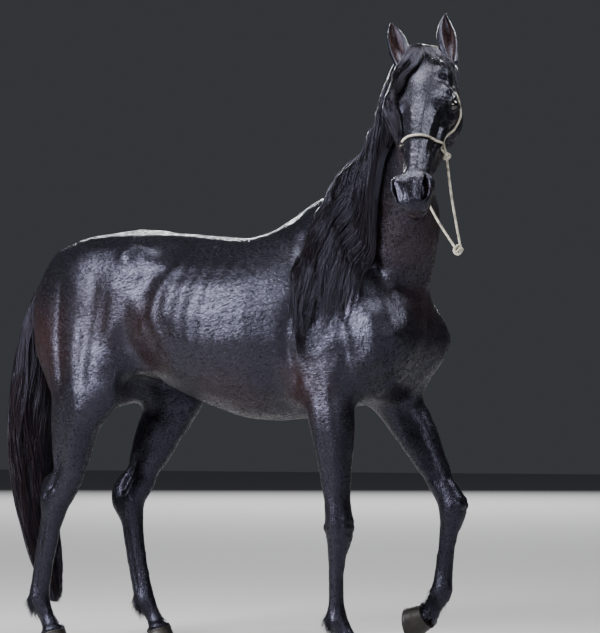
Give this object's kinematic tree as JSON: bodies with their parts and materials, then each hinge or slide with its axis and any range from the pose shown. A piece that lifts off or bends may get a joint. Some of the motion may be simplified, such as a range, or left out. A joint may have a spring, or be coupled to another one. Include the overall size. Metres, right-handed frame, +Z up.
{
  "type": "horse",
  "caption": "Life-size still model of a black riding horse in mid-walk, its head turned to its right and one forefoot raised, wearing a plain rope halter.",
  "frame": {"origin": "middle of the bounding box at floor level", "axes": "+X the way the horse faces, +Y its left, +Z up"},
  "size_m": [2.08, 0.959, 2.0612],
  "materials": {
    "coat": "short glossy black coat",
    "hair": "long wavy black hair",
    "horn": "dark hoof horn, satin",
    "eye": "wet dark brown eye",
    "rope": "braided cream cotton rope"
  },
  "bodies": {
    "root": {"trunk": "coat", "neck": "coat", "head": "coat", "ear_right": "coat", "ear_left": "coat", "fore_right_upper": "coat", "fore_right_lower": "coat", "fore_left_upper": "coat", "fore_left_lower": "coat", "hind_right_upper": "coat", "hind_right_lower": "coat", "hind_left_upper": "coat", "hind_left_lower": "coat", "fore_right_hoof": "horn", "fore_left_hoof": "horn", "hind_right_hoof": "horn", "hind_left_hoof": "horn", "eye_right": "eye", "eye_left": "eye", "mane": "hair", "forelock": "hair", "tail": "hair", "halter_noseband": "rope", "halter_crown": "rope", "halter_chin_left": "rope", "halter_chin_right": "rope", "halter_knot_left": "rope", "halter_knot_right": "rope", "halter_knot_chin": "rope"}
  },
  "joints": []
}
